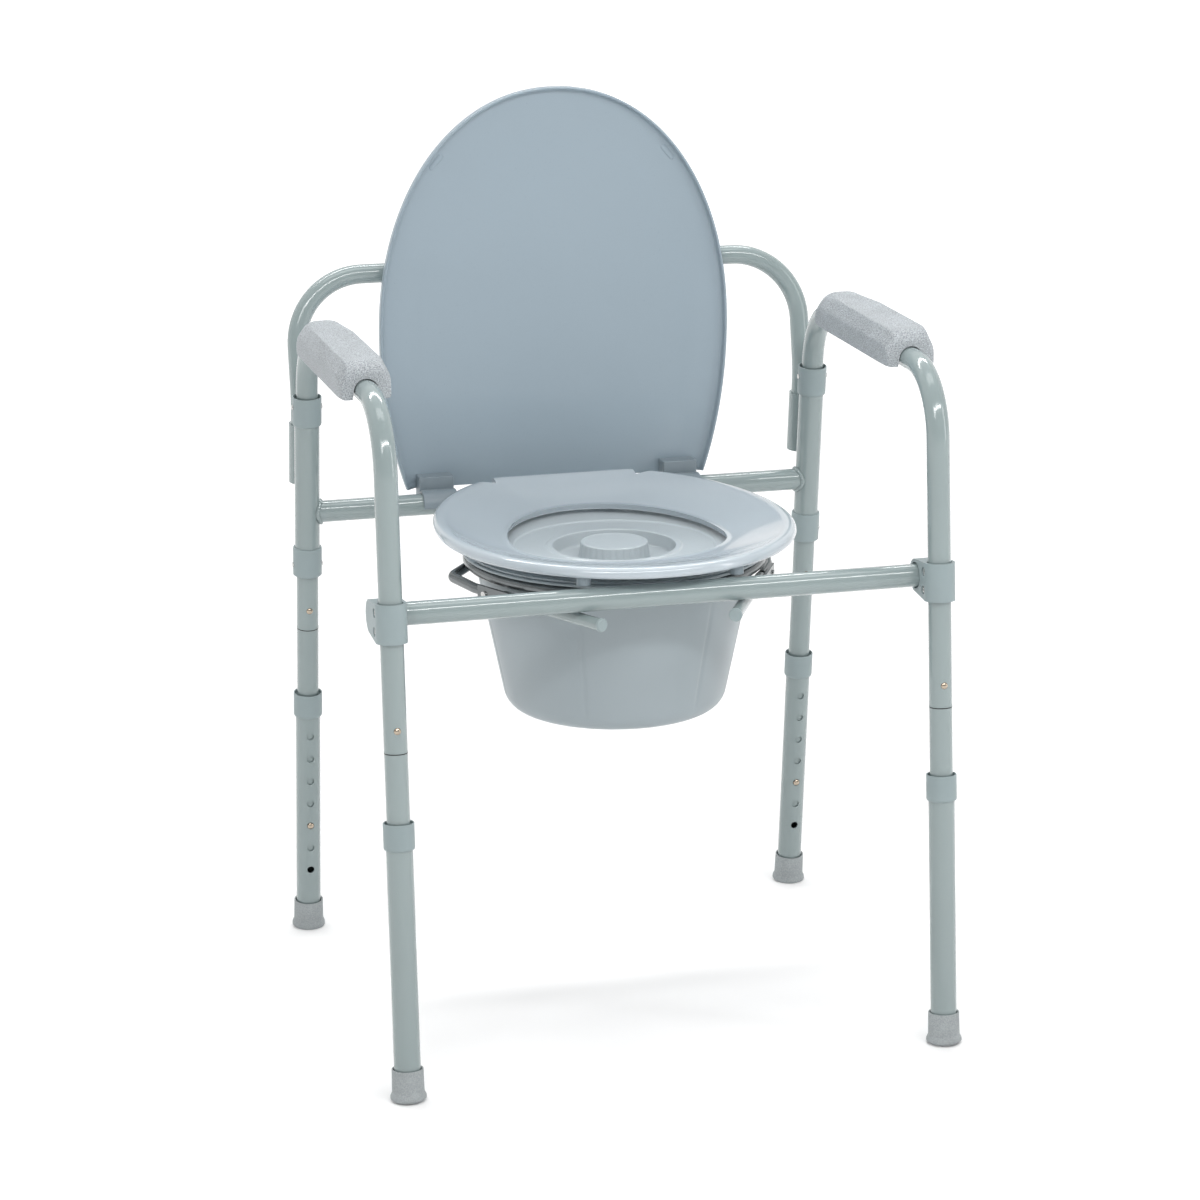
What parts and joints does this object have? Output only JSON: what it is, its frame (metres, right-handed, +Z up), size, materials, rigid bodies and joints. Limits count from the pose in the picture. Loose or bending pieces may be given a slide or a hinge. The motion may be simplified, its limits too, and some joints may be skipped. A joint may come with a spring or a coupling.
{
  "type": "folding bedside commode frame",
  "caption": "Folding steel bedside commode: splayed height-adjustable legs, padded arms, back bar, hinged oval seat and lid, lift-out pail in a ring holder.",
  "frame": {"origin": "on the floor, midway between the four feet", "axes": "+X to the right seen from the front, +Y to the rear, +Z up"},
  "size_m": [0.586, 0.5299, 0.883],
  "materials": {
    "frame_paint": "gloss powder coat",
    "holder_paint": "satin dark powder coat",
    "fitting_plastic": "satin moulded",
    "clip_plastic": "satin moulded, dark",
    "seat_plastic": "gloss moulded",
    "pail_plastic": "semi-gloss moulded",
    "cover_plastic": "semi-gloss moulded",
    "pad_vinyl": "fine pebble grain",
    "foot_rubber": "mottled matte",
    "button_brass": "polished",
    "fastener_steel": "bright"
  },
  "bodies": {
    "rear_frame": {"left_rear_sleeve": "frame_paint", "left_back_socket": "frame_paint", "left_upper_bushing": "fitting_plastic", "left_lower_bushing": "fitting_plastic", "right_rear_sleeve": "frame_paint", "right_back_socket": "frame_paint", "right_upper_bushing": "fitting_plastic", "right_lower_bushing": "fitting_plastic", "rear_crossbar": "frame_paint", "bushing_rivets": "fastener_steel", "pail": "pail_plastic", "pail_cover": "cover_plastic", "holder_ring": "holder_paint", "holder_hooks": "holder_paint", "holder_rods": "frame_paint", "rod_caps": "fitting_plastic", "holder_plates": "holder_paint", "holder_rivets": "fastener_steel", "holder_loops": "holder_paint"},
    "back_bar": {"back_bar": "frame_paint"},
    "left_side": {"left_side_tube": "frame_paint", "left_armrest_pad": "pad_vinyl", "left_pad_screws": "fastener_steel", "left_front_inner_leg": "frame_paint", "left_rear_inner_leg": "frame_paint"},
    "right_side": {"right_side_tube": "frame_paint", "right_armrest_pad": "pad_vinyl", "right_pad_screws": "fastener_steel", "right_front_inner_leg": "frame_paint", "right_rear_inner_leg": "frame_paint"},
    "front_bar": {"front_crossbar": "frame_paint", "left_leg_bracket": "fitting_plastic", "right_leg_bracket": "fitting_plastic", "bracket_screws": "fastener_steel"},
    "seat": {"seat": "seat_plastic", "seat_clips": "fitting_plastic", "seat_bumpers": "foot_rubber"},
    "lid": {"lid": "seat_plastic", "lid_clips": "clip_plastic", "lid_bumpers": "seat_plastic"},
    "left_front_extension": {"left_front_extension": "frame_paint", "left_front_collar": "fitting_plastic", "left_front_foot": "foot_rubber"},
    "left_front_height_button": {"left_front_height_button": "button_brass"},
    "left_front_joint_button": {"left_front_joint_button": "button_brass"},
    "left_rear_extension": {"left_rear_extension": "frame_paint", "left_rear_collar": "fitting_plastic", "left_rear_foot": "foot_rubber"},
    "left_rear_height_button": {"left_rear_height_button": "button_brass"},
    "left_rear_joint_button": {"left_rear_joint_button": "button_brass"},
    "right_front_extension": {"right_front_extension": "frame_paint", "right_front_collar": "fitting_plastic", "right_front_foot": "foot_rubber"},
    "right_front_height_button": {"right_front_height_button": "button_brass"},
    "right_front_joint_button": {"right_front_joint_button": "button_brass"},
    "right_rear_extension": {"right_rear_extension": "frame_paint", "right_rear_collar": "fitting_plastic", "right_rear_foot": "foot_rubber"},
    "right_rear_height_button": {"right_rear_height_button": "button_brass"},
    "right_rear_joint_button": {"right_rear_joint_button": "button_brass"}
  },
  "joints": [
    {"name": "left_side_fold", "type": "hinge", "parent": "rear_frame", "child": "left_side", "pos_m": [-0.267, 0.19495, 0.4634], "axis": [0, -0.1129, 0.9936], "range_deg": [-12, 12]},
    {"name": "right_side_fold", "type": "hinge", "parent": "rear_frame", "child": "right_side", "pos_m": [0.267, 0.19495, 0.4634], "axis": [0, -0.1129, 0.9936], "range_deg": [-12, 12]},
    {"name": "front_bar_swing", "type": "hinge", "parent": "left_side", "child": "front_bar", "pos_m": [-0.267, -0.20997, 0.4557], "axis": [0, -0.1129, 0.9936], "range_deg": [-12, 12]},
    {"name": "seat_hinge", "type": "hinge", "parent": "rear_frame", "child": "seat", "pos_m": [0, 0.19495, 0.4634], "axis": [-1, 0, 0], "range_deg": [0, 90]},
    {"name": "lid_hinge", "type": "hinge", "parent": "rear_frame", "child": "lid", "pos_m": [0, 0.19495, 0.4634], "axis": [-1, 0, 0], "range_deg": [-90, 0]},
    {"name": "back_bar_lift", "type": "slide", "parent": "rear_frame", "child": "back_bar", "axis": [0, -0.1129, 0.9936], "range_m": [0, 0.05]},
    {"name": "left_front_height", "type": "slide", "parent": "left_side", "child": "left_front_extension", "axis": [0, -0.0823, -0.9966], "range_m": [-0.0508, 0.1016]},
    {"name": "left_front_height_button_press", "type": "slide", "parent": "left_side", "child": "left_front_height_button", "axis": [0, -0.9966, 0.0823], "range_m": [0, 0.003], "stiffness_N_per_m": 500, "springref_m": -0.002},
    {"name": "left_front_joint_button_press", "type": "slide", "parent": "left_side", "child": "left_front_joint_button", "axis": [0, 0.9966, -0.0823], "range_m": [0, 0.003], "stiffness_N_per_m": 500, "springref_m": -0.002},
    {"name": "left_rear_height", "type": "slide", "parent": "left_side", "child": "left_rear_extension", "axis": [0, 0.1129, -0.9936], "range_m": [-0.0508, 0.1016]},
    {"name": "left_rear_height_button_press", "type": "slide", "parent": "left_side", "child": "left_rear_height_button", "axis": [0, 0.9936, 0.1129], "range_m": [0, 0.003], "stiffness_N_per_m": 500, "springref_m": -0.002},
    {"name": "left_rear_joint_button_press", "type": "slide", "parent": "left_side", "child": "left_rear_joint_button", "axis": [0, 0.9936, 0.1129], "range_m": [0, 0.003], "stiffness_N_per_m": 500, "springref_m": -0.002},
    {"name": "right_front_height", "type": "slide", "parent": "right_side", "child": "right_front_extension", "axis": [0, -0.0823, -0.9966], "range_m": [-0.0508, 0.1016]},
    {"name": "right_front_height_button_press", "type": "slide", "parent": "right_side", "child": "right_front_height_button", "axis": [0, -0.9966, 0.0823], "range_m": [0, 0.003], "stiffness_N_per_m": 500, "springref_m": -0.002},
    {"name": "right_front_joint_button_press", "type": "slide", "parent": "right_side", "child": "right_front_joint_button", "axis": [0, 0.9966, -0.0823], "range_m": [0, 0.003], "stiffness_N_per_m": 500, "springref_m": -0.002},
    {"name": "right_rear_height", "type": "slide", "parent": "right_side", "child": "right_rear_extension", "axis": [0, 0.1129, -0.9936], "range_m": [-0.0508, 0.1016]},
    {"name": "right_rear_height_button_press", "type": "slide", "parent": "right_side", "child": "right_rear_height_button", "axis": [0, 0.9936, 0.1129], "range_m": [0, 0.003], "stiffness_N_per_m": 500, "springref_m": -0.002},
    {"name": "right_rear_joint_button_press", "type": "slide", "parent": "right_side", "child": "right_rear_joint_button", "axis": [0, 0.9936, 0.1129], "range_m": [0, 0.003], "stiffness_N_per_m": 500, "springref_m": -0.002}
  ],
  "couplings": [
    {"joint": "right_side_fold", "follows": "left_side_fold", "ratio": 1},
    {"joint": "front_bar_swing", "follows": "left_side_fold", "ratio": -1}
  ]
}
